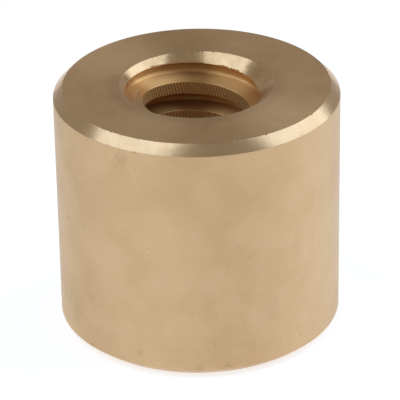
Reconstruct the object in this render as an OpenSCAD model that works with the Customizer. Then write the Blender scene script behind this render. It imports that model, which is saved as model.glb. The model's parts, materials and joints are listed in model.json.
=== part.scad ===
// Cylindrical lead screw nut, turned from one solid bronze bar.
// A plain round blank, bored through and cut with a single-start right-hand
// trapezoidal thread. The outer edges are bevelled, and both thread mouths are
// countersunk.
// The bore axis is the Z axis with +Z up, and the origin is on that axis
// in the plane of the lower end face. All lengths are in millimetres.

/* [Body] */
// Outside diameter of the turned body
body_d = 45; // [36:0.5:80]
// Length between the two flat end faces
body_len = 40; // [20:0.5:100]
// Leg of the 45 degree bevel round the upper outer edge
top_bevel = 1.5; // [0.3:0.1:3]
// Width of the lower outer bevel, measured across the end face
foot_bevel_in = 1.5; // [0.3:0.1:3]
// Height of the lower outer bevel, measured up the side
foot_bevel_up = 1.3; // [0.3:0.1:3]

/* [Thread] */
// Nominal diameter of the thread, which is the size of the screw that runs in it
thread_d = 22; // [16:1:28]
// Pitch of the single-start thread
pitch = 5; // [3:0.5:6]
// Angle of each thread flank to the plane square to the axis
flank_angle = 15; // [10:0.5:20]
// Width of the flat ridge crest as a share of the pitch
crest_share = 0.405; // [0.34:0.005:0.45]
// Room between the outside of the screw and the bottom of the thread groove
root_gap = 0.25; // [0:0.05:0.5]
// Height of a ridge centre above the lower end face on the +Y side
ridge_lift = 0.23; // [0:0.01:5]

/* [Mouth] */
// How far each 45 degree countersink reaches out beyond the thread groove
mouth_bevel = 0.9; // [0.3:0.1:2]
// Depth of each countersink, down to the flat step that ends it
mouth_depth = 2.5; // [1:0.1:3.5]

/* [Hidden] */
bronze = [0.78, 0.62, 0.42];
half = 0.5;
body_r = body_d * half;
minor_r = (thread_d - pitch) * half;
root_r = thread_d * half + root_gap;
mouth_r = root_r + mouth_bevel;
full_turn = 360;
quarter_turn = 90;
round_steps = 144;
turn_steps = 72;
step_angle = full_turn / turn_steps;
step_rise = pitch / turn_steps;
// The groove starts below the lower face and ends above the upper one.
run_past = 1.5 * pitch;
cut_steps = ceil((body_len + 2 * run_past) / step_rise);
groove_start = ridge_lift + pitch * half - ceil(run_past / pitch) * pitch;
// The cutter reaches a little inside the bore, so that it breaks through cleanly.
reach_in = 0.8;
cutter_r = minor_r - reach_in;
open_w = pitch * (1 - crest_share);
flank_run = tan(flank_angle);
cutter_half = open_w * half + reach_in * flank_run;
root_half = open_w * half - (root_r - minor_r) * flank_run;
past_face = 1;
ring = 4;

// One corner of the groove section, turned and lifted along the helix.
function on_helix(i, r, dz) = [
    r * cos(quarter_turn + i * step_angle),
    r * sin(quarter_turn + i * step_angle),
    groove_start + i * step_rise + dz
];

// Corner points of every section: inner low, outer low, outer high, inner high.
function groove_points() = [
    for (i = [0 : cut_steps])
    for (c = [
        [cutter_r, -cutter_half],
        [root_r, -root_half],
        [root_r, root_half],
        [cutter_r, cutter_half]
    ])
    on_helix(i, c[0], c[1])
];

// Two triangles for each side of each step, then the two end caps.
function groove_faces() = concat(
    [for (i = [0 : cut_steps - 1], k = [0 : ring - 1])
        let (a = i * ring + k)
        let (b = i * ring + (k + 1) % ring)
        [a, b, a + ring]
    ],
    [for (i = [0 : cut_steps - 1], k = [0 : ring - 1])
        let (a = i * ring + k)
        let (b = i * ring + (k + 1) % ring)
        [b, b + ring, a + ring]
    ],
    [[3, 2, 1, 0]],
    [[
        cut_steps * ring,
        cut_steps * ring + 1,
        cut_steps * ring + 2,
        cut_steps * ring + 3
    ]]
);

// The helical groove that the thread tool takes out of the bore wall.
module thread_groove() {
    polyhedron(points = groove_points(), faces = groove_faces(), convexity = 12);
}

// The turned blank: side of the body, both flat ends and the outer bevels.
module blank() {
    rotate_extrude($fn = round_steps)
    polygon([
        [0, 0],
        [body_r - foot_bevel_in, 0],
        [body_r, foot_bevel_up],
        [body_r, body_len - top_bevel],
        [body_r - top_bevel, body_len],
        [0, body_len]
    ]);
}

// The bore left between the ridge crests.
module bore() {
    translate([0, 0, -past_face])
    cylinder(r = minor_r, h = body_len + 2 * past_face, $fn = round_steps);
}

// One countersink: 45 degrees from the end face down to a flat step round the bore.
module mouth() {
    translate([0, 0, body_len - mouth_depth])
    cylinder(r1 = mouth_r - mouth_depth, r2 = mouth_r, h = mouth_depth, $fn = round_steps);
    translate([0, 0, body_len])
    cylinder(r = mouth_r, h = past_face, $fn = round_steps);
}

// The lead screw nut itself, one solid piece.
module nut() {
    color(bronze)
    difference() {
        blank();
        bore();
        mouth();
        translate([0, 0, body_len]) mirror([0, 0, 1]) mouth();
        thread_groove();
    }
}

nut();
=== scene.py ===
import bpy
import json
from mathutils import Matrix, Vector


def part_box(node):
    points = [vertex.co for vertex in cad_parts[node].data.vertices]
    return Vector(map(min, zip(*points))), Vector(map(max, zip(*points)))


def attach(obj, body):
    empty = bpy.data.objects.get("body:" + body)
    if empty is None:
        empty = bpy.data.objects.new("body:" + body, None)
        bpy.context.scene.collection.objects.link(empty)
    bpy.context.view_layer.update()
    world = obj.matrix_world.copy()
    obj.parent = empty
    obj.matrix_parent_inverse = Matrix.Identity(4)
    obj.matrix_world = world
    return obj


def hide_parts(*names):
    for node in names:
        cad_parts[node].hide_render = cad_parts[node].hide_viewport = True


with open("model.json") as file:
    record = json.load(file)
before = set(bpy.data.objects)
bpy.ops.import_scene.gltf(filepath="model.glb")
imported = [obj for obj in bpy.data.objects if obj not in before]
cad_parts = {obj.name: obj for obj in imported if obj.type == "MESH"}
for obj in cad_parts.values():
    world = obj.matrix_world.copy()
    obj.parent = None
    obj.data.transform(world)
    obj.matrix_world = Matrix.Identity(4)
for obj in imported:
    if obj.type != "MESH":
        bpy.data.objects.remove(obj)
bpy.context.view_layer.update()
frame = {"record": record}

# %% [markdown]
# ## Sizes
# The body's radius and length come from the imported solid, so that the dressed nut can't drift from it.
# The radius over the thread's ridges is stated with the nut's mount. The rest are the thread's standard
# sizes (22 mm across, a ridge every 5 mm) and the bevels that a lathe puts on the edges.
# %% Sizes
import json
from math import cos, pi, radians, sin, tan
from types import SimpleNamespace

import bpy
from mathutils import Matrix, Vector

MM = 0.001
MICRON = MM / 1000
nut_low, nut_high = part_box("nut")
thread_mount = next(m for m in frame["record"]["mounts"] if m["name"] == "lead_thread")
body_radius = nut_high.x
body_length = nut_high.z - nut_low.z
top_bevel = 1.5 * MM
foot_bevel_in = 1.5 * MM
foot_bevel_up = 1.3 * MM
mouth_radius = 12.15 * MM
mouth_depth = 2.5 * MM
ridge_radius = thread_mount["dims"]["r_mm"] * MM
root_radius = 11.25 * MM
pitch = 5 * MM
ridge_width = 0.405 * pitch
flank_angle = radians(15)
ridge_lift = 0.23 * MM
# Each flute turns by flute_lean radians in a metre of height.
flute_count = 103
flute_lean = 31.0
print("body", round(2 * body_radius / MM, 2), "x", round(body_length / MM, 2), "mm")
print("thread over its ridges", round(2 * ridge_radius / MM, 2), "mm")

# %% [markdown]
# ## Writing node trees as formulas
# A node tree is a set of boxes joined by wires. Drawn by hand it is quick to read, but in a script each
# wire is a line of its own. The two small classes here let a wire be used like a number, so that a
# formula such as `radius * cosine(turn)` places its own nodes, in geometry trees and materials alike.
# %% Wires and boards
class Wire:
    """One output of a node. Sums, products and comparisons of wires make Math nodes."""

    def __init__(self, board, socket):
        self.board = board
        self.socket = socket


def add_operator(method, operation):
    """Gives wires one sign, such as +, with a wire or a number on its other side."""

    def forward(self, other):
        return self.board.math(operation, self, other)

    def backward(self, other):
        return self.board.math(operation, other, self)

    setattr(Wire, f"__{method}__", forward)
    setattr(Wire, f"__r{method}__", backward)


SIGNS = {"add": "ADD", "sub": "SUBTRACT", "mul": "MULTIPLY", "truediv": "DIVIDE"}
SIGNS.update({"lt": "LESS_THAN", "gt": "GREATER_THAN"})
for method, operation in SIGNS.items():
    add_operator(method, operation)


class Board:
    """A node tree in which one call places one node."""

    def __init__(self, tree):
        self.tree = tree

    def node(self, kind, plugs=None, **settings):
        placed = self.tree.nodes.new(kind)
        for setting, value in settings.items():
            setattr(placed, setting, value)
        for name, value in (plugs or {}).items():
            self.plug(placed, name, value)
        return placed

    def plug(self, placed, name, value):
        sockets = [s for s in placed.inputs if s.enabled and name in (s.identifier, s.name)]
        if isinstance(value, Wire):
            self.tree.links.new(value.socket, sockets[0])
        else:
            sockets[0].default_value = value

    def wire(self, kind, plugs=None, out=None, **settings):
        """Places a node and gives the wire from its output named out, or from the first one in use."""
        placed = self.node(kind, plugs, **settings)
        return self.out(placed, out)

    def out(self, placed, name=None):
        live = [s for s in placed.outputs if s.enabled and name in (None, s.name, s.identifier)]
        return Wire(self, live[0])

    def math(self, operation, *terms):
        placed = self.tree.nodes.new("ShaderNodeMath")
        placed.operation = operation
        for socket, term in zip(placed.inputs, terms):
            if isinstance(term, Wire):
                self.tree.links.new(term.socket, socket)
            else:
                socket.default_value = term
        return Wire(self, placed.outputs[0])

    def point(self, x, y, z):
        return self.wire("ShaderNodeCombineXYZ", {"X": x, "Y": y, "Z": z})

    def split(self, place):
        """The X, Y and Z of a place."""
        parts = self.node("ShaderNodeSeparateXYZ", {"Vector": place})
        return [self.out(parts, axis) for axis in "XYZ"]


def function_of_one(operation):
    """A function that places one Math node on the board of its wire."""

    def placed(value):
        return value.board.math(operation, value)

    return placed


sine, cosine = function_of_one("SINE"), function_of_one("COSINE")
whole, part_of = function_of_one("FLOOR"), function_of_one("FRACT")
unsigned = function_of_one("ABSOLUTE")


def both(first, second):
    return first.board.math("MINIMUM", first, second)


def either(first, second):
    return first.board.math("MAXIMUM", first, second)


def from_axis(x, y):
    return x.board.math("SQRT", x * x + y * y)


ORIGIN = Vector((0, 0, 0))
SOCKET_OF = {
    float: "NodeSocketFloat",
    int: "NodeSocketInt",
    tuple: "NodeSocketColor",
    Vector: "NodeSocketVector",
    bpy.types.Material: "NodeSocketMaterial",
    bpy.types.Mesh: "NodeSocketGeometry",
}


def title(name):
    """A Python name as a group shows it: root_radius is shown as Root Radius."""
    return name.replace("_", " ").title()


def new_group(tree_kind, name, results, values):
    """A node group with an input for each value, and the wires from those inputs."""
    tree = bpy.data.node_groups.new(name, tree_kind)
    board = Board(tree)
    for value_name, value in values.items():
        kind = SOCKET_OF[type(value)]
        made = tree.interface.new_socket(title(value_name), in_out="INPUT", socket_type=kind)
        made.default_value = value
    for result, kind in results.items():
        tree.interface.new_socket(result, in_out="OUTPUT", socket_type=SOCKET_OF[kind])
    inputs = tree.nodes.new("NodeGroupInput")
    return board, SimpleNamespace(**{each: board.out(inputs, title(each)) for each in values})


def new_geometry_group(name, **sizes):
    return new_group("GeometryNodeTree", name, {"Mesh": bpy.types.Mesh}, sizes)


def new_object(name, data):
    made = bpy.data.objects.new(name, data)
    bpy.context.scene.collection.objects.link(made)
    return made


def close_group(board, **results):
    board.node("NodeGroupOutput", results)
    print("group", board.tree.name, "with", len(board.tree.nodes), "nodes")
    return board.tree


# %% [markdown]
# ## Skins from a grid
# Every surface of the nut follows a rule: the body is a profile spun round an axis, and the thread is a
# profile moved along a helix. Both are a grid of points whose columns go round and whose rows go along
# the profile. One group of formulas places each point, and Merge by Distance then sews the seam and the
# poles.
# %% Outlines and grids
def pick(board, index, values):
    """A wire that holds values[0] at index 0, values[1] at index 1 and so on."""
    switch = board.tree.nodes.new("GeometryNodeIndexSwitch")
    switch.data_type = "FLOAT"
    while len(switch.index_switch_items) < len(values):
        switch.index_switch_items.new()
    board.plug(switch, "Index", index)
    for item, value in enumerate(values):
        board.plug(switch, f"Item_{item}", value)
    return board.out(switch)


def moved_to(board, mesh, place):
    return board.wire("GeometryNodeSetPosition", {"Geometry": mesh, "Position": place})


def outline(board, corners, rounds, closed, round_steps):
    """A curve in the XZ plane through corners given as (out, up), each rounded by its radius in rounds."""
    index = board.wire("GeometryNodeInputIndex")
    out = pick(board, index, [corner[0] for corner in corners])
    up = pick(board, index, [corner[1] for corner in corners])
    line = board.wire("GeometryNodeMeshLine", {"Count": len(corners)})
    line = moved_to(board, line, board.point(out, 0.0, up))
    curve = board.wire("GeometryNodeMeshToCurve", {"Mesh": line})
    curve = board.wire("GeometryNodeSetSplineCyclic", {"Geometry": curve, "Cyclic": closed})
    radius = pick(board, index, rounds)
    return board.wire(
        "GeometryNodeFilletCurve",
        {"Curve": curve, "Count": round_steps, "Radius": radius, "Limit Radius": True},
        mode="POLY",
    )


def outline_point(board, curve, row):
    """How far out and how high the outline's point number row is."""
    position = board.wire("GeometryNodeInputPosition")
    found = board.wire(
        "GeometryNodeSampleIndex",
        {"Geometry": curve, "Value": position, "Index": row},
        data_type="FLOAT_VECTOR",
        clamp=True,
    )
    out, _, up = board.split(found)
    return out, up


def point_count(board, curve):
    size = "GeometryNodeAttributeDomainSize"
    return board.wire(size, {"Geometry": curve}, "Point Count", component="CURVE")


def grid_of(board, columns, rows):
    """A grid, and for each of its points the column and the row that it is in."""
    grid = board.wire("GeometryNodeMeshGrid", {"Vertices X": columns, "Vertices Y": rows})
    index = board.wire("GeometryNodeInputIndex")
    rounding_slack = 0.0005
    column = whole(index / rows + rounding_slack)
    return grid, column, index - column * rows


def capped(line, last):
    """A line's number from 0 to last, and 0 in place of 1 on the one more line that caps each end."""
    return either(both(line - 1, last), 0), both(line, last + 2 - line) > 0.5


def around(board, radius, angle, height):
    return board.point(radius * cosine(angle), radius * sine(angle), height)


def sewn(board, grid, place):
    """The grid with its points moved to place and its seam and poles closed."""
    skin = moved_to(board, grid, place)
    return board.wire("GeometryNodeMergeByDistance", {"Geometry": skin, "Distance": 1 * MICRON})


# %% [markdown]
# ## The turned blank
# On the lathe the nut starts as a bar end: faced flat, turned to size, and bevelled at its edges so that
# it slides into its housing without catching. The mouths of the bore are countersunk a little way, so
# that the first ridge is cut where it runs out but keeps its full height from there on. The outline runs
# from the axis at the bottom of the lower countersink to the axis at the bottom of the upper one, and
# each corner has the small round that a deburring stone leaves. Spinning it closes the body. A plain band
# runs along each edge, so that a nick cut into the edge later changes the faces of that band only.
# %% The turned blank
def build_blank_group():
    board, size = new_geometry_group(
        "Turned Blank",
        radius=body_radius,
        length=body_length,
        top_bevel=top_bevel,
        foot_bevel_in=foot_bevel_in,
        foot_bevel_up=foot_bevel_up,
        mouth_radius=mouth_radius,
        mouth_depth=mouth_depth,
        edge_round=0.08 * MM,
        edge_band=0.6 * MM,
        turn_steps=288,
    )
    radius, length, bevel = size.radius, size.length, size.top_bevel
    mouth, depth = size.mouth_radius, size.mouth_depth
    foot_in, foot_up = size.foot_bevel_in, size.foot_bevel_up
    band, edge = size.edge_band, size.edge_round
    # Each point is (out, up, round).
    points = [
        (0.0, depth, 0.0),
        (mouth - depth, depth, edge),
        (mouth, 0.0, edge),
        (mouth + band, 0.0, 0.0),
        (radius - foot_in - band, 0.0, 0.0),
        (radius - foot_in, 0.0, edge),
        (radius, foot_up, edge),
        (radius, foot_up + band, 0.0),
        (radius, length - bevel - band, 0.0),
        (radius, length - bevel, edge),
        (radius - bevel, length, edge),
        (radius - bevel - band, length, 0.0),
        (mouth + band, length, 0.0),
        (mouth, length, edge),
        (mouth - depth, length - depth, edge),
        (0.0, length - depth, 0.0),
    ]
    corners, rounds = [point[:2] for point in points], [point[2] for point in points]
    curve = outline(board, corners, rounds, False, 3)
    rows = point_count(board, curve)
    grid, column, row = grid_of(board, size.turn_steps + 1, rows)
    out, up = outline_point(board, curve, row)
    turn = column * (2 * pi) / size.turn_steps
    return close_group(board, Mesh=sewn(board, grid, around(board, out, turn, up)))


turned_blank = build_blank_group()

# %% [markdown]
# ## The fluted bore
# The flat tops of the thread's ridges were left by the boring tool before the thread was cut, and the
# tool chattered: it left about a hundred shallow flutes round the bore, each leaning a little. They are
# real steps in the metal that light picks out, so the bore is a skin whose radius swells in each flute.
# %% The fluted bore
def build_bore_group():
    board, size = new_geometry_group(
        "Fluted Bore",
        radius=ridge_radius,
        length=body_length,
        flutes=flute_count,
        flute_depth=0.028 * MM,
        flute_lean=flute_lean,
        steps_in_a_flute=8,
        rings=24,
        overrun=2 * MM,
    )
    columns = size.flutes * size.steps_in_a_flute
    rings = size.rings
    grid, column, row = grid_of(board, columns + 1, rings + 2)
    turn = column * (2 * pi) / columns
    ring, is_ring = capped(row, rings - 1)
    height = ring / (rings - 1) * (size.length + size.overrun * 2) - size.overrun
    phase = column / size.steps_in_a_flute
    swell = part_of(phase) * 2 - 1
    depth = size.flute_depth * (1 - swell * swell)
    leaning = turn + height * size.flute_lean
    radius = (size.radius + depth) * is_ring
    return close_group(board, Mesh=sewn(board, grid, around(board, radius, leaning, height)))


fluted_bore = build_bore_group()

# %% [markdown]
# ## The thread groove
# A trapezoidal thread has flat crests, flat roots and flanks that lean 15 degrees, so that it carries
# load along the screw and still clears itself. The cutter's outline has small rounds at the root, where a
# real tool's corners are worn, and flares a hair where it leaves the bore, which breaks the sharp edge of
# the ridge. It is carried along a helix that rises one pitch in each turn.
# %% The thread groove
thread_sizes = {
    "ridge_radius": ridge_radius,
    "ridge_width": ridge_width,
    "flank_slope": tan(flank_angle),
    "pitch": pitch,
    "ridge_lift": ridge_lift,
    "length": body_length,
}


def build_groove_group():
    board, size = new_geometry_group(
        "Thread Groove",
        **thread_sizes,
        root_radius=root_radius,
        root_round=0.7 * MM,
        edge_break=0.06 * MM,
        cutter_reach=0.93,
        cutter_flare=0.5,
        overrun=0.55,
        steps_in_a_turn=180,
    )
    ridge, root, rise = size.ridge_radius, size.root_radius, size.pitch
    slope, chamfer = size.flank_slope, size.edge_break
    half_mouth = (rise - size.ridge_width) / 2
    half_root = half_mouth - (root - ridge) * slope
    half_break = half_mouth - chamfer * slope
    inner = ridge * size.cutter_reach
    half_flare = half_mouth + chamfer + (ridge - inner) * size.cutter_flare
    corners = [
        (inner, 0 - half_flare),
        (ridge, 0 - half_mouth - chamfer),
        (ridge + chamfer, 0 - half_break),
        (root, 0 - half_root),
        (root, half_root),
        (ridge + chamfer, half_break),
        (ridge, half_mouth + chamfer),
        (inner, half_flare),
    ]
    root_round = size.root_round
    curve = outline(board, corners, [0.0, 0.0, chamfer, root_round, root_round, chamfer, 0.0, 0.0], True, 7)
    count = point_count(board, curve)
    overrun = rise * size.overrun
    start_height = 0 - overrun
    turns = (size.length + overrun * 2) / rise
    steps = board.math("CEIL", turns * size.steps_in_a_turn)
    grid, column, row = grid_of(board, steps + 3, count + 1)
    out, up = outline_point(board, curve, board.math("MODULO", row, count))
    step, is_section = capped(column, steps)
    rising = start_height + step * rise / size.steps_in_a_turn
    first_groove = size.ridge_lift + rise / 2
    turn = pi / 2 + (rising - first_groove) * (2 * pi) / rise
    middle = (inner + root) / 2
    out = middle + (out - middle) * is_section
    up = up * is_section
    return close_group(board, Mesh=sewn(board, grid, around(board, out, turn, up + rising)))


thread_groove = build_groove_group()

# %% [markdown]
# ## Nicks along the edges
# Handling leaves its marks first where metal is thinnest. The sharp edges of the bevels carry a scatter
# of dents, each a fraction of a millimetre across. A dent is a rough pebble pressed into the edge, so
# each one is a twenty-sided ball taken away from the body. The balls are spread along a circle by random
# turns from a fixed seed, so that every run gives the same nut.
# %% Edge nicks
def random_size(board, low, high, seed):
    plugs = {"Min": low, "Max": high, "Seed": seed}
    return board.wire("FunctionNodeRandomValue", plugs, data_type="FLOAT")


def build_nicks_group():
    board, size = new_geometry_group(
        "Edge Nicks",
        edge_radius=body_radius,
        edge_height=body_length,
        nicks=60,
        smallest=0.03 * MM,
        largest=0.16 * MM,
        shortest=0.8,
        longest=2.2,
        spread=0.04 * MM,
        first_turn=0.0,
        last_turn=2 * pi,
        seed=1,
    )
    seed, spread = size.seed, size.spread
    turn = random_size(board, size.first_turn, size.last_turn, seed)
    out = size.edge_radius + random_size(board, 0 - spread, spread, seed + 1)
    up = size.edge_height + random_size(board, 0 - spread, spread, seed + 2)
    line = board.wire("GeometryNodeMeshLine", {"Count": size.nicks})
    places = moved_to(board, line, around(board, out, turn, up))
    pebble = board.wire("GeometryNodeMeshIcoSphere", {"Radius": 1.0, "Subdivisions": 1}, "Mesh")
    luck = random_size(board, 0.0, 1.0, seed + 3)
    width = size.smallest + (size.largest - size.smallest) * luck * luck
    length = width * random_size(board, size.shortest, size.longest, seed + 4)
    roll = random_size(board, 0.0, 2 * pi, seed + 5)
    nicks = board.wire(
        "GeometryNodeInstanceOnPoints",
        {
            "Points": places,
            "Instance": pebble,
            "Rotation": board.point(roll, 0.0, turn),
            "Scale": board.point(width, length, width),
        },
    )
    return close_group(board, Mesh=board.wire("GeometryNodeRealizeInstances", {"Geometry": nicks}))


edge_nicks = build_nicks_group()

# %% [markdown]
# ## The ragged edge in the mouth
# Where the groove runs out through the countersink it leaves a thin edge that climbs round the mouth. The
# file that took its burr off left it ragged: hardly touched in places, and chipped back a few tenths of a
# millimetre in others. The cut is a thin tube laid along that edge, whose thickness wanders with noise
# and grows over one stretch where the metal broke away.
# %% The ragged edge
def noise(board, place, scale, detail=2.0, roughness=0.5):
    """Noise with about scale features in a metre."""
    plugs = {"Vector": place, "Scale": scale, "Detail": detail, "Roughness": roughness}
    return board.wire("ShaderNodeTexNoise", plugs, "Fac")


def ramp(board, value, low, high, to_low=0.0, to_high=1.0):
    """A soft step: to_low as far as low, and to_high from high on."""
    plugs = {"Value": value, "From Min": low, "From Max": high, "To Min": to_low, "To Max": to_high}
    return board.wire("ShaderNodeMapRange", plugs, "Result", interpolation_type="SMOOTHSTEP")


def build_ragged_edge_group():
    board, size = new_geometry_group(
        "Ragged Edge",
        **thread_sizes,
        start=radians(-11),
        end=radians(131),
        mouth_radius=mouth_radius,
        thin=0.05 * MM,
        ragged=0.12 * MM,
        broken=0.2 * MM,
        break_from=radians(22),
        break_to=radians(76),
        steps=520,
        sides=8,
    )
    slope = size.flank_slope
    grid, column, row = grid_of(board, size.steps + 3, size.sides + 1)
    step, is_ring = capped(column, size.steps)
    turn = size.start + step / size.steps * (size.end - size.start)
    rising = size.length + size.ridge_lift + (turn - pi / 2) * size.pitch / (2 * pi)
    cone_foot = size.length - size.mouth_radius
    reach = rising - size.ridge_width / 2 + size.ridge_radius * slope - cone_foot
    edge_out = reach / (slope + 1)
    edge_up = cone_foot + edge_out
    place = around(board, edge_out, turn, edge_up)
    wander_scale, chip_scale = 900.0, 2600.0
    wander = ramp(board, noise(board, place, wander_scale), 0.42, 0.7)
    chips = ramp(board, noise(board, place, chip_scale), 0.45, 0.62)
    fade_in, fade_out = 0.2, 0.25
    broken = ramp(board, turn, size.break_from, size.break_from + fade_in)
    broken = broken * ramp(board, turn, size.break_to - fade_out, size.break_to, 1.0, 0.0)
    thick = size.thin + size.ragged * wander + size.broken * broken * (chips * 0.6 + 0.4)
    side = row * (2 * pi) / size.sides
    out = edge_out + thick * is_ring * cosine(side)
    up = edge_up + thick * is_ring * sine(side)
    return close_group(board, Mesh=sewn(board, grid, around(board, out, turn, up)))


ragged_edge = build_ragged_edge_group()

# %% [markdown]
# ## What a cut surface looks like
# Bronze has one colour, but each tool leaves its own skin on it. Every finish here is built from the same
# effects, kept as node groups so that each material can use them with its own values: a cloudy tone from
# handling and tarnish, the fine lines that a turning tool leaves, scratches, dark specks and stains. They
# all read the object's own coordinates in metres, so the marks have their real size and stay put.
# %% Shader helpers
def new_shader_group(name, results, **values):
    return new_group("ShaderNodeTree", name, results, values)


def new_material(name):
    material = bpy.data.materials.new(name)
    material.use_nodes = True
    material.node_tree.nodes.clear()
    return material, Board(material.node_tree)


def blended(board, amount, first, second, blend_type="MIX"):
    plugs = {"Factor_Float": amount, "A_Color": first, "B_Color": second}
    return board.wire("ShaderNodeMix", plugs, "Result_Color", data_type="RGBA", blend_type=blend_type)


def moved(board, place, operation, by):
    plugs = {"Vector": place, "Vector_001": by}
    return board.wire("ShaderNodeVectorMath", plugs, operation=operation)


def length_of(board, place):
    return board.wire("ShaderNodeVectorMath", {"Vector": place}, "Value", operation="LENGTH")


def turned_by(board, place, angles):
    plugs = {"Vector": place, "Rotation": angles}
    return board.wire("ShaderNodeVectorRotate", plugs, rotation_type="EULER_XYZ")


# %% [markdown]
# The cloudy tone is two layers of noise. A coarse one darkens and warms the metal in patches of several
# millimetres, where it has been handled, and a finer one lets the brighter bare metal through.
# %% Cloudy tone
def build_cloudy_tone():
    board, value = new_shader_group(
        "Cloudy Tone",
        {"Tone": tuple, "Cloud": float},
        place=ORIGIN,
        bare=(0.6, 0.42, 0.23, 1.0),
        handled=(0.55, 0.37, 0.2, 1.0),
        bright=(0.66, 0.48, 0.28, 1.0),
        cloud_size=7 * MM,
        strength=0.7,
    )
    place, strength = value.place, value.strength
    coarse = noise(board, place, 1 / value.cloud_size, 3.0, 0.6)
    fine = noise(board, moved(board, place, "ADD", (0.3, 0.1, 0.2)), 2.6 / value.cloud_size, 4.0, 0.6)
    cloud = ramp(board, coarse, 0.36, 0.66)
    clear = ramp(board, fine, 0.48, 0.74)
    tone = blended(board, cloud * strength, value.bare, value.handled)
    tone = blended(board, clear * strength * 0.5, tone, value.bright)
    return close_group(board, Tone=tone, Cloud=cloud)


cloudy_tone = build_cloudy_tone()

# %% [markdown]
# The tool's feed leaves a groove at each turn. The lines run round the axis, so they depend on the travel
# of the tool alone: the height on the side, and the radius on an end. Noise that is stretched round the
# nut makes some lines deeper than others and lets them fade, as they do when the tool rubs.
# %% Turning lines
def build_turning_lines():
    board, value = new_shader_group(
        "Turning Lines",
        {"Height": float},
        place=ORIGIN,
        travel=0.0,
        feed=0.12 * MM,
    )
    x, y, _ = board.split(value.place)
    turns = value.travel / value.feed
    patches_in_a_metre = 60
    round_nut = board.point(turns, x * patches_in_a_metre, y * patches_in_a_metre)
    wander = noise(board, round_nut, 0.9, 3.0, 0.7)
    groove = sine(turns * (2 * pi)) * 0.5 + 0.5
    return close_group(board, Height=groove * 0.35 + wander * 0.65)


turning_lines = build_turning_lines()

# %% [markdown]
# Scratches come from chips and from being set down. Each direction is a noise pulled out along one axis
# and cut off high, so that only its crests are left as thin streaks. Three turned copies cross.
# %% Scratches
def build_scratches():
    board, value = new_shader_group("Scratches", {"Mark": float}, place=ORIGIN, amount=0.5)
    stretch, streak_scale = (0.045, 1.0, 1.0), 3600.0
    marks = []
    for angles in ((0.4, 0.2, 1.1), (1.3, 0.5, 2.6), (2.2, 0.9, 0.3)):
        along = turned_by(board, value.place, angles)
        streak = noise(board, moved(board, along, "MULTIPLY", stretch), streak_scale, 1.0)
        marks.append(ramp(board, streak, 0.7, 0.8))
    return close_group(board, Mark=either(either(marks[0], marks[1]), marks[2]) * value.amount)


scratches = build_scratches()

# %% [markdown]
# Specks are spots of oxide and dried coolant. They come in swarms, so the crests of a fine noise are let
# through only where a coarse one is high.
# %% Specks
def build_specks():
    board, value = new_shader_group("Specks", {"Mark": float}, place=ORIGIN, amount=0.3)
    swarm_scale, spot_scale = 150.0, 1500.0
    swarm = ramp(board, noise(board, value.place, swarm_scale, 2.0), 0.45, 0.65)
    spot = ramp(board, noise(board, value.place, spot_scale, 3.0, 0.6), 0.63, 0.72)
    return close_group(board, Mark=spot * swarm * value.amount)


specks = build_specks()

# %% [markdown]
# A stain is a drop that dried on the metal, or the mark of a finger. It is a soft spot at a chosen place,
# and noise eats into its outline. Two of the spots on the mouth's bevel are painted shade instead.
# %% Stains
def build_stain():
    board, value = new_shader_group(
        "Stain", {"Mark": float}, place=ORIGIN, centre=ORIGIN, size=1.5 * MM, depth=0.5
    )
    from_centre = moved(board, value.place, "SUBTRACT", value.centre)
    away = length_of(board, from_centre)
    ragged = noise(board, value.place, 3.0 / value.size, 4.0, 0.65)
    reach = away / value.size + ragged * 2.2 - 1.1
    return close_group(board, Mark=ramp(board, reach, 0.15, 1.0, 1.0, 0.0) * value.depth)


stain = build_stain()

# %% [markdown]
# ## Seven finishes
# One recipe makes every finish, with the values of its own cut. The side was turned with a fine feed and
# has been handled, so it is satin and a little dull. The end was faced and shows rings about the axis,
# darker close to the mouth, where oil ran out. The bevels were cut last with a sharp tool, so they are
# the brightest and smoothest. The thread is given a browner, more orange bronze, and painted shade darkens
# it further down on the left and at the back. The tops of its ridges keep the chatter of the boring tool.
# Their bronze is paler than elsewhere, painted light for the dim bore, with painted shade dark in the
# flutes and the lines between them left bright as a painted highlight. At the front the mouth and the start
# of the thread are darker and duller. Chipped edges are rough bare metal.
#
# First come the masks: each is 1 where the mark is full and 0 where there is none.
# %% Where the marks are
def oiled_rim(board, place):
    """1 on the end close to the mouth, where oil out of the bore has darkened it, most at the front."""
    x, y, _ = board.split(place)
    rim = ramp(board, from_axis(x, y), mouth_radius + 0.6 * MM, mouth_radius + 2.8 * MM, 1.0, 0.0)
    return rim * ramp(board, y, -4 * MM, 5 * MM, 1.0, 0.25)


def painted_bore_shade(board, place):
    """1 where the thread gets painted shade: low on the left, and at the back of the first groove."""
    x, y, z = board.split(place)
    low = ramp(board, z, body_length - 8 * MM, body_length - 5.5 * MM, 1.0, 0.0)
    low = low * ramp(board, x, 1 * MM, 7 * MM, 1.0, 0.0)
    in_groove = ramp(board, from_axis(x, y), 9.2 * MM, 10.8 * MM)
    back = in_groove * ramp(board, unsigned(x + 2 * MM), 2.5 * MM, 6.5 * MM, 1.0, 0.0)
    return either(low, back * ramp(board, y, 0, 5 * MM))


def filed_front(board, place, right_end):
    """1 over the front of the mouth, as far right as right_end, where the finish is darker and duller."""
    x, y, z = board.split(place)
    high = ramp(board, z, body_length - 3.6 * MM, body_length - 2.6 * MM)
    left = ramp(board, x, right_end - 4 * MM, right_end, 1.0, 0.0)
    return high * left * ramp(board, y, -4.2 * MM, 0.8 * MM, 1.0, 0.0)


def flute_shade_and_highlight(board, place):
    """1 on the lines between flutes, 0 in their hollows, weaker at the front and back: painted highlight
    and shade.
    """
    x, y, z = board.split(place)
    turn = board.math("ARCTAN2", y, x) - z * flute_lean
    across = part_of(turn * (flute_count / (2 * pi)) + flute_count) * 2 - 1
    line = ramp(board, unsigned(across), 0.45, 0.95)
    return line * ramp(board, unsigned(x), 1 * MM, 4 * MM, 0.35, 1.0)


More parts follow.
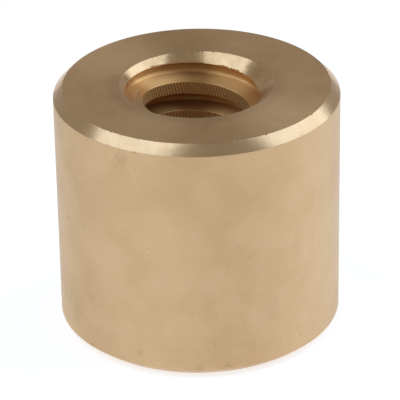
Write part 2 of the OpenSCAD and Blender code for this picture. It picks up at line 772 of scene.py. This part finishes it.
def stain_and_shade_marks(board, place, values):
    """The mark of each stain, and each spot of painted shade, given by its turn in degrees, height, width
    in mm and depth.
    """
    radius = values.get("stain_radius", body_radius)
    for turn, rise, width, depth in values.get("stains", ()):
        centre = (radius * cos(radians(turn)), radius * sin(radians(turn)), rise * MM)
        plugs = {"Place": place, "Centre": centre, "Size": width * MM, "Depth": depth}
        yield board.wire("ShaderNodeGroup", plugs, "Mark", node_tree=stain)


# %% [markdown]
# The recipe lays the marks over the cloudy tone, from the oldest to the newest, and turns the lines,
# scratches and specks into heights for the bump.
# %% One recipe
# Stains and the spots of painted shade on the mouth share one brown.
stain_and_shade_brown = (0.36, 0.21, 0.09, 1.0)
speck_brown = (0.2, 0.11, 0.05, 1.0)
# The next brown is painted shade for deep in the bore.
bore_shade_brown = (0.22, 0.09, 0.03, 1.0)
fresh_metal = (0.8, 0.64, 0.45, 1.0)
scratch_depth, speck_depth = 1.5 * MICRON, 4 * MICRON


def marked(board, place, effect, amount):
    """The mark that an effect, such as the scratches, leaves at each place."""
    return board.wire("ShaderNodeGroup", {"Place": place, "Amount": amount}, "Mark", node_tree=effect)


def build_finish(name, values):
    material, board = new_material(name)
    place = board.wire("ShaderNodeTexCoord", out="Object")
    tone_plugs = {"Place": place, "Strength": values["clouds"], "Cloud Size": values["cloud_size"]}
    for layer in ("Bare", "Handled", "Bright"):
        tone_plugs[layer] = (*values[layer.lower()], 1.0)
    tone = board.node("ShaderNodeGroup", tone_plugs, node_tree=cloudy_tone)
    x, y, z = board.split(place)
    # The tool moves out over an end, which is what has a rim, and up along everything else.
    travel = from_axis(x, y) if "rim" in values else z
    line_plugs = {"Place": place, "Travel": travel, "Feed": values["feed"]}
    lines = board.wire("ShaderNodeGroup", line_plugs, "Height", node_tree=turning_lines)
    scratch = marked(board, place, scratches, values["scratched"])
    speck = marked(board, place, specks, values["specked"])
    colour = board.out(tone, "Tone")
    for mark in stain_and_shade_marks(board, place, values):
        colour = blended(board, mark, colour, stain_and_shade_brown)
    colour = blended(board, speck, colour, speck_brown)
    colour = blended(board, scratch * 0.5, colour, fresh_metal)
    rough = board.out(tone, "Cloud") * values["rough_clouds"] + values["rough"] + speck * 0.2
    height = lines * values["line_depth"] - scratch * scratch_depth - speck * speck_depth
    # The flutes' hollows take painted shade from the valley colour, and the lines between them keep the
    # brighter colour as a painted highlight.
    if "valley" in values:
        flute_highlight = flute_shade_and_highlight(board, place)
        valley = blended(board, 1.0, colour, (*values["valley"], 1.0), "MULTIPLY")
        colour = blended(board, flute_highlight, valley, colour)
        rough = rough - flute_highlight * 0.12
    if "rim" in values:
        colour = blended(board, oiled_rim(board, place) * values["rim"], colour, speck_brown)
    # Painted shade deep in the bore, low on the left and at the back of the groove.
    if "deep" in values:
        colour = blended(board, painted_bore_shade(board, place) * values["deep"], colour, bore_shade_brown)
    if "filed" in values:
        filed = filed_front(board, place, values["filed_right"])
        colour = blended(board, filed, colour, (*values["filed"], 1.0))
        rough = rough + filed * values["filed_rough"]
    normal = board.wire("ShaderNodeBump", {"Height": height, "Distance": 1.0, "Strength": 1.0})
    metal = board.wire(
        "ShaderNodeBsdfPrincipled",
        {
            "Base Color": colour,
            "Metallic": 1.0,
            "Roughness": rough,
            "Normal": normal,
            "Anisotropic": values["brushed"],
            "Anisotropic Rotation": 0.25,
            "Tangent": board.wire("ShaderNodeTangent", direction_type="RADIAL", axis="Z"),
            "Coat Weight": values["oil"],
            "Coat Roughness": values["oil_rough"],
        },
    )
    board.node("ShaderNodeOutputMaterial", {"Surface": metal})
    return material


# %% [markdown]
# Every finish starts from the outer bevel's values and states what differs. The three colours are those
# of bare, handled and rubbed metal.
# %% Values of each cut
outer_bevel = {
    "bare": (0.64, 0.425, 0.23),
    "handled": (0.6, 0.385, 0.2),
    "bright": (0.68, 0.47, 0.275),
    "clouds": 0.6,
    "cloud_size": 4 * MM,
    "rough": 0.24,
    "rough_clouds": 0.05,
    "brushed": 0.6,
    "feed": 0.1 * MM,
    "line_depth": 0.8 * MICRON,
    "scratched": 0.35,
    "specked": 0.3,
    "oil": 0.0,
    "oil_rough": 0.2,
}


def changed(bare, handled, bright, **differences):
    return {**outer_bevel, "bare": bare, "handled": handled, "bright": bright, **differences}


# The spots at 43 and 160 degrees are painted shade that cuts the bevel's highlights short; those at 12 and
# 30 degrees are stains.
mouth_stains_and_shade = [(12, 39.4, 1.6, 0.3), (30, 39.0, 1.8, 0.3), (43, 39.6, 1.0, 0.6), (160, 39.5, 1.3, 0.6)]
side_stains = [
    (-121, 36.5, 1.6, 0.2), (-124, 35.6, 1.0, 0.12), (-140, 1.2, 1.0, 0.35), (-115, 3.5, 1.0, 0.2),
    (-79, 2.0, 0.9, 0.3), (-91, 1.8, 1.2, 0.2), (-155, 21.8, 0.6, 0.3), (-61, 10.0, 3.0, 0.13),
    (-97, 13.0, 2.4, 0.08), (-48, 20.0, 1.6, 0.1), (-70, 5.0, 2.0, 0.12), (-150, 7.0, 6.0, 0.16),
    (-132, 1.5, 7.0, 0.14),
]
finish_values = {
    "turned_side": changed(
        (0.71, 0.5, 0.28), (0.68, 0.465, 0.25), (0.75, 0.54, 0.305),
        clouds=0.8, cloud_size=8 * MM, rough=0.44, rough_clouds=0.03, brushed=0.85, feed=0.12 * MM,
        line_depth=1.0 * MICRON, scratched=0.25, oil=0.1, oil_rough=0.3, stains=side_stains,
    ),
    "faced_end": changed(
        (0.665, 0.412, 0.2), (0.595, 0.357, 0.163), (0.715, 0.467, 0.248),
        clouds=0.8, cloud_size=9 * MM, rough=0.36, rough_clouds=0.06, brushed=0.8, feed=0.15 * MM,
        line_depth=1.2 * MICRON, scratched=0.25, specked=0.35, oil=0.05, oil_rough=0.3, rim=0.18,
    ),
    "cut_bevel": outer_bevel,
    "mouth_bevel": changed(
        (0.62, 0.4, 0.205), (0.55, 0.345, 0.165), (0.66, 0.45, 0.25),
        clouds=0.8, rough=0.2, rough_clouds=0.1, stain_radius=mouth_radius - 0.8 * MM,
        stains=mouth_stains_and_shade, filed=(0.54, 0.36, 0.2), filed_rough=0.42, filed_right=20 * MM,
    ),
    # The ridge tops are a much paler bronze than the rest: painted light for the dim bore.
    "ridge_top": changed(
        (0.94, 0.65, 0.33), (0.9, 0.59, 0.28), (0.96, 0.7, 0.4),
        clouds=0.7, cloud_size=3 * MM, rough=0.7, brushed=0.2, feed=0.2 * MM,
        line_depth=1.0 * MICRON, scratched=0.1, specked=0.2, valley=(0.58, 0.46, 0.3),
    ),
    "thread_cut": changed(
        (0.72, 0.405, 0.15), (0.66, 0.352, 0.115), (0.78, 0.47, 0.196),
        clouds=0.4, cloud_size=3 * MM, rough=0.42, rough_clouds=0.02, brushed=0.85, feed=0.2 * MM,
        scratched=0.1, specked=0.1, deep=0.4,
        filed=(0.56, 0.36, 0.2), filed_rough=0.15, filed_right=-4 * MM,
    ),
    "chipped_edge": {**outer_bevel, "rough": 0.3, "brushed": 0.0},
}
finishes = {name: build_finish(name, values) for name, values in finish_values.items()}
print("finishes:", list(finishes))

# %% [markdown]
# ## Putting the cuts together
# Mesh Boolean takes the bore, the groove, the ragged edge and the nicks away from the blank, in the order
# in which they happened. The Manifold solver is fast and exact on closed meshes, and it keeps what is
# written on the faces. So each skin is stamped with the number of its finish before the cut, and Set
# Material reads the stamps at the end. Edges that turn by more than ten degrees stay sharp, and the rest
# are smooth.
# %% The nut's tree
stamp_of = {name: number for number, name in enumerate(finishes)}


def stamped(board, mesh, finish):
    plugs = {"Geometry": mesh, "Name": "finish", "Value": finish}
    return board.wire("GeometryNodeStoreNamedAttribute", plugs, data_type="INT", domain="FACE")


def stamped_blank(board, mesh):
    """A flat looks up or down, the side looks out, and a slope is a bevel, of the mouth or outside."""
    upright = unsigned(board.split(board.wire("GeometryNodeInputNormal"))[2])
    x, y, _ = board.split(board.wire("GeometryNodeInputPosition"))
    inside = from_axis(x, y) < mouth_radius
    end, bevel, mouth = (stamp_of[name] for name in ("faced_end", "cut_bevel", "mouth_bevel"))
    is_slope, is_end = upright > 0.2, upright > 0.95
    finish = is_slope * (inside * (mouth - bevel) + bevel)
    return stamped(board, mesh, finish + is_end * (end - finish))


def same(board, value, number):
    return board.wire("FunctionNodeCompare", {"A": value, "B": number}, data_type="INT", operation="EQUAL")


def use_group(board, tree, **sizes):
    """The mesh that a group makes with the sizes named here in place of its own."""
    plugs = {title(name): value for name, value in sizes.items()}
    placed = board.node("GeometryNodeGroup", plugs, node_tree=tree)
    return board.out(placed, "Mesh")


def cut_away(board, body, cutter):
    plugs = {"Mesh 1": body, "Mesh 2": cutter}
    return board.wire("GeometryNodeMeshBoolean", plugs, "Mesh", operation="DIFFERENCE", solver="MANIFOLD")


def levelled(board, mesh, height, slack):
    """Puts points that the cuts left a hair off an end back on it, so that the end shades flat."""
    x, y, z = board.split(board.wire("GeometryNodeInputPosition"))
    near = unsigned(z - height) < slack
    plugs = {"Geometry": mesh, "Selection": near, "Position": board.point(x, y, height)}
    return board.wire("GeometryNodeSetPosition", plugs)


def edge_nick_cuts(board):
    """Nicks for every sharp edge, and one larger dent on the mouth's rim at the front left."""
    edges = [
        (body_radius - top_bevel, body_length, 90, 11),
        (body_radius, body_length - top_bevel, 60, 21),
        (mouth_radius, body_length, 50, 31),
        (body_radius, foot_bevel_up, 60, 41),
        (body_radius - foot_bevel_in, 0.0, 50, 51),
        (mouth_radius, 0.0, 30, 61),
    ]
    for radius, height, count, seed in edges:
        yield use_group(
            board, edge_nicks, edge_radius=radius, edge_height=height, nicks=count, seed=seed
        )
    yield use_group(
        board,
        edge_nicks,
        edge_radius=mouth_radius,
        nicks=1,
        smallest=0.25 * MM,
        largest=0.26 * MM,
        first_turn=radians(222),
        last_turn=radians(222.1),
        seed=71,
    )


def build_nut_tree():
    board, size = new_geometry_group(
        "Lead Screw Nut", crease_angle=radians(10.3), weld=1.5 * MICRON, slack=5 * MICRON, **finishes
    )
    nut = stamped_blank(board, use_group(board, turned_blank))
    bore = stamped(board, use_group(board, fluted_bore), stamp_of["ridge_top"])
    groove = stamped(board, use_group(board, thread_groove), stamp_of["thread_cut"])
    chipped = stamp_of["chipped_edge"]
    ragged = stamped(board, use_group(board, ragged_edge), chipped)
    for cutter in (bore, groove, ragged):
        nut = cut_away(board, nut, cutter)
    for nicks in edge_nick_cuts(board):
        nut = cut_away(board, nut, stamped(board, nicks, chipped))
    nut = board.wire("GeometryNodeMergeByDistance", {"Geometry": nut, "Distance": size.weld})
    for height in (0.0, body_length):
        nut = levelled(board, nut, height, size.slack)
    finish = board.wire("GeometryNodeInputNamedAttribute", {"Name": "finish"}, data_type="INT")
    end = same(board, finish, stamp_of["faced_end"])
    flat = either(end, same(board, finish, chipped))
    plugs = {"Geometry": nut, "Shade Smooth": flat < 0.5}
    nut = board.wire("GeometryNodeSetShadeSmooth", plugs, domain="FACE")
    turn = board.wire("GeometryNodeInputMeshEdgeAngle", out="Unsigned Angle")
    plugs = {"Geometry": nut, "Selection": turn > size.crease_angle, "Shade Smooth": False}
    nut = board.wire("GeometryNodeSetShadeSmooth", plugs, domain="EDGE")
    nut = board.wire("GeometryNodeRealizeInstances", {"Geometry": nut})
    for name, number in stamp_of.items():
        plugs = {"Geometry": nut, "Selection": same(board, finish, number), "Material": getattr(size, name)}
        nut = board.wire("GeometryNodeSetMaterial", plugs)
    return close_group(board, Mesh=nut)


nut_tree = build_nut_tree()

# %% [markdown]
# ## From tree to mesh
# The tree runs as a modifier on an empty mesh. The evaluated result becomes a plain mesh, and the seed
# object goes, so that nothing live is left on the finished piece. The cuts also leave an empty material
# slot, which is taken out. The nut then rides on the body and stands in for the solid.
# %% The nut's mesh
def mesh_from_tree(name, tree):
    seed = new_object(name + "_seed", bpy.data.meshes.new(name + "_seed"))
    modifier = seed.modifiers.new("tree", "NODES")
    modifier.node_group = tree
    evaluated = seed.evaluated_get(bpy.context.evaluated_depsgraph_get())
    mesh = bpy.data.meshes.new_from_object(evaluated)
    mesh.name = name
    made = new_object(name, mesh)
    bpy.data.objects.remove(seed)
    return made


nut = mesh_from_tree("bronze_nut", nut_tree)
while None in list(nut.data.materials):
    nut.data.materials.pop(index=list(nut.data.materials).index(None))
triangles = sum(len(face.vertices) - 2 for face in nut.data.polygons)
print("nut:", len(nut.data.vertices), "points,", triangles, "triangles")
print("finishes on it:", [slot.name for slot in nut.data.materials])
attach(nut, "root")
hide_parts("nut")

# %% [markdown]
# ## The camera
# A long lens from a little under half a metre, looking down on the nut by 28 degrees. The distance sets
# how much the nut narrows towards its foot, and the lens how much of the frame it fills. The small turns
# give the slight tilt of a camera on a stand.
# %% Camera
# The lens and the sensor are in millimetres, as Blender takes them.
camera_lens, camera_sensor = 242.6, 36
camera_distance = 430.5 * MM
camera_elevation = radians(27.711)
camera_roll = radians(0.974)
camera_yaw = radians(-0.033)
camera_pitch = radians(-0.065)


def build_camera():
    data = bpy.data.cameras.new("camera")
    data.lens = camera_lens
    data.sensor_width = camera_sensor
    camera = new_object("camera", data)
    aim = Vector((0, 0, body_length / 2))
    back = Vector((0, -cos(camera_elevation), sin(camera_elevation)))
    right = Vector((1, 0, 0))
    turned = Matrix((right, right.cross(-back), back)).transposed()
    turned = turned @ Matrix.Rotation(camera_yaw, 3, "Y") @ Matrix.Rotation(camera_pitch, 3, "X")
    turned = turned @ Matrix.Rotation(-camera_roll, 3, "Z")
    camera.matrix_world = Matrix.Translation(aim + back * camera_distance) @ turned.to_4x4()
    bpy.context.scene.camera = camera
    return camera


camera = build_camera()
print("camera stands", round(camera.matrix_world.translation.z / MM), "mm up")

# %% [markdown]
# ## Studio light
# Metal is a mirror, so lighting it means choosing what it sees. Two soft boxes stand left and right, and
# where their ends lie decides where the bevels flash and where they go dull. Each box is given by the
# bearings of its two ends as seen from the nut: turned from the back (+Y) towards +X, and raised from the
# floor.
# %% Soft boxes
cool_white = (1.0, 1.28, 1.72)


def bearing(turn, rise):
    turn, rise = radians(turn), radians(rise)
    return Vector((sin(turn) * cos(rise), cos(turn) * cos(rise), sin(rise)))


def soft_box(name, first_end, last_end, distance, height, level):
    first, last = bearing(*first_end), bearing(*last_end)
    towards = (first + last).normalized()
    along = (last - first).normalized()
    data = bpy.data.lights.new(name, "AREA")
    data.shape = "RECTANGLE"
    data.size = 2 * distance * tan(first.angle(last) / 2)
    data.size_y = height
    data.energy = level * pi * data.size * data.size_y
    data.color = cool_white
    lamp = new_object(name, data)
    turned = Matrix((along, towards.cross(along), towards)).transposed().to_4x4()
    lamp.matrix_world = Matrix.Translation(towards * distance + Vector((0, 0, body_length))) @ turned
    lamp.visible_camera = False
    print(name, "is", round(data.size, 2), "m long, at", round(data.energy, 2), "W")
    return lamp


soft_box("left_box", (-78.5, 38), (-155, 63), distance=0.7, height=0.55, level=1.18)
soft_box("right_box", (110, 54), (49, 22), distance=0.7, height=0.62, level=1.22)

# %% [markdown]
# A tent of white cloth closes the rest of the studio, so that the metal's dull parts see an even half
# light. It is a little brighter at the back but dimmer high up there, and low at the front and at the
# sides it catches the light of the table. The camera looks in through it.
# %% Light tent
def circle(radius, height, corners):
    turns = [2 * pi * corner / corners for corner in range(corners)]
    return [(radius * cos(turn), radius * sin(turn), height) for turn in turns]


def stage_object(name, verts, faces, material):
    mesh = bpy.data.meshes.new(name)
    mesh.from_pydata(verts, [], faces)
    mesh.materials.append(material)
    made = new_object(name, mesh)
    print(name, "has", len(faces), "faces")
    return made


def glowing(board, strength):
    return board.wire("ShaderNodeEmission", {"Color": (1, 1, 1, 1), "Strength": strength})


def build_tent():
    material, board = new_material("tent_cloth")
    right, back, up = board.split(board.wire("ShaderNodeNewGeometry", out="Position"))
    glow = ramp(board, back, -0.6, 1.2, tent_front, tent_back)
    far_side = either(right * 0.35, right * -0.12)
    low_front = ramp(board, up, 0.1, 0.6, 1.0, 0.0) * ramp(board, back - far_side, -0.5, 0.4, 1.0, 0.0)
    high_back = ramp(board, up, 0.75, 1.3) * ramp(board, back, -0.45, 0.0)
    glow = glow + low_front * (tent_low - glow) - high_back * tent_dim
    board.node("ShaderNodeOutputMaterial", {"Surface": glowing(board, glow)})
    rings, spokes = 16, 48
    verts, faces = [], []
    for ring in range(rings + 1):
        rise = tent_foot + (pi / 2 - tent_foot) * ring / rings
        verts += circle(tent_radius * cos(rise), tent_radius * sin(rise), spokes)
    for ring in range(rings):
        for spoke in range(spokes):
            a, b = ring * spokes + spoke, ring * spokes + (spoke + 1) % spokes
            faces.append((a, b, b + spokes, a + spokes))
    tent = stage_object("light_tent", verts, faces, material)
    tent.visible_camera = False
    return tent


# Places in the tent are in metres, and it reaches below the floor. Its glow is given at the front, at the
# back and low down, and by how much it dims high at the back.
tent_radius, tent_foot = 1.5, radians(-25)
tent_front, tent_back, tent_low, tent_dim = 0.37, 0.42, 0.95, 0.19
build_tent()

# %% [markdown]
# The floor is white card. Its diffuse part takes the nut's soft shadow. What the camera and the metal see
# of it is lifted to plain white a little way out, by Light Path, which costs no extra light on the nut.
# It lies a hair below the nut's foot, so that the two faces don't flicker through each other.
# %% Floor and backdrop
def seen_directly(board):
    """1 for rays from the camera, from a glossy surface or through glass."""
    path = board.node("ShaderNodeLightPath")
    seen = either(board.out(path, "Is Camera Ray"), board.out(path, "Is Glossy Ray"))
    return either(seen, board.out(path, "Is Transmission Ray"))


def build_floor():
    material, board = new_material("white_card")
    away = length_of(board, board.wire("ShaderNodeNewGeometry", out="Position"))
    card = board.wire("ShaderNodeBsdfDiffuse", {"Color": (0.9, 0.9, 0.9, 1)})
    shade = board.wire("ShaderNodeBsdfDiffuse", {"Color": (shadow_keep, shadow_keep, shadow_keep, 1)})
    near = board.wire("ShaderNodeAddShader", {"Shader": shade, "Shader_001": glowing(board, shadow_lift)})
    far = ramp(board, away, 2.2 * body_radius, 6 * body_radius)
    look_plugs = {"Fac": far, "Shader": near, "Shader_001": glowing(board, 1.0)}
    look = board.wire("ShaderNodeMixShader", look_plugs)
    seen = seen_directly(board)
    surface = board.wire("ShaderNodeMixShader", {"Fac": seen, "Shader": card, "Shader_001": look})
    board.node("ShaderNodeOutputMaterial", {"Surface": surface})
    rim = circle(table_radius, -floor_gap, table_corners)
    return stage_object("floor", rim, [tuple(range(table_corners))], material)


table_radius, table_corners = 0.45, 96
floor_gap = 10 * MICRON
shadow_keep, shadow_lift = 0.5, 0.7
build_floor()


def build_world():
    world = bpy.data.worlds.new("studio")
    world.use_nodes = True
    world.node_tree.nodes.clear()
    board = Board(world.node_tree)
    level = seen_directly(board) * (1 - tent_front) + tent_front
    backdrop = board.wire("ShaderNodeBackground", {"Color": (1, 1, 1, 1), "Strength": level})
    board.node("ShaderNodeOutputWorld", {"Surface": backdrop})
    bpy.context.scene.world = world


build_world()
bpy.context.scene.view_settings.view_transform = "Standard"
